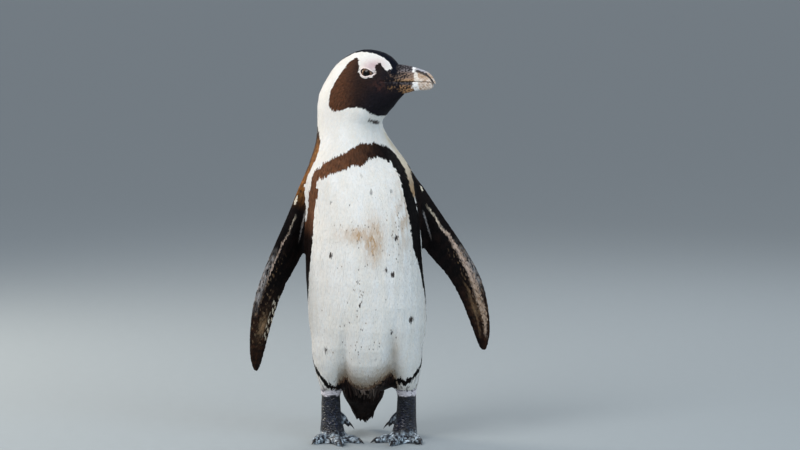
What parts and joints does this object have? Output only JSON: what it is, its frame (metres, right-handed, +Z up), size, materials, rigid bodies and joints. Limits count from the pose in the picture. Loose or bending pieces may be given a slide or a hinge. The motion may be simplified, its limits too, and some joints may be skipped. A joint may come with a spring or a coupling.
{
  "type": "african penguin model",
  "caption": "Life-size museum-style model of a standing african penguin with its head turned to its left and flippers held away from its sides.",
  "frame": {"origin": "on the floor, under the middle of the bird's box", "axes": "+Z up from the floor to the crown; the bird's body faces -Y and its own left is +X"},
  "size_m": [0.3198, 0.172, 0.5183],
  "materials": {
    "plumage": "matte short feathers, white with dark brown-black band, back, face and flippers",
    "foot_skin": "black scaly skin with a pale dusting",
    "bill_horn": "worn dark horn with a pale band and tan tip",
    "eye": "glossy dark brown",
    "claw": "smooth dark horn"
  },
  "bodies": {
    "root": {"head": "plumage", "neck": "plumage", "trunk": "plumage", "tail": "plumage", "flipper_right": "plumage", "flipper_left": "plumage", "leg_right": "plumage", "leg_left": "plumage", "foot_right": "foot_skin", "foot_left": "foot_skin", "bill_upper": "bill_horn", "bill_lower": "bill_horn", "eye_right": "eye", "eye_left": "eye", "claw_outer_right": "claw", "claw_middle_right": "claw", "claw_inner_right": "claw", "claw_hind_right": "claw", "claw_outer_left": "claw", "claw_middle_left": "claw", "claw_inner_left": "claw", "claw_hind_left": "claw"}
  },
  "joints": []
}
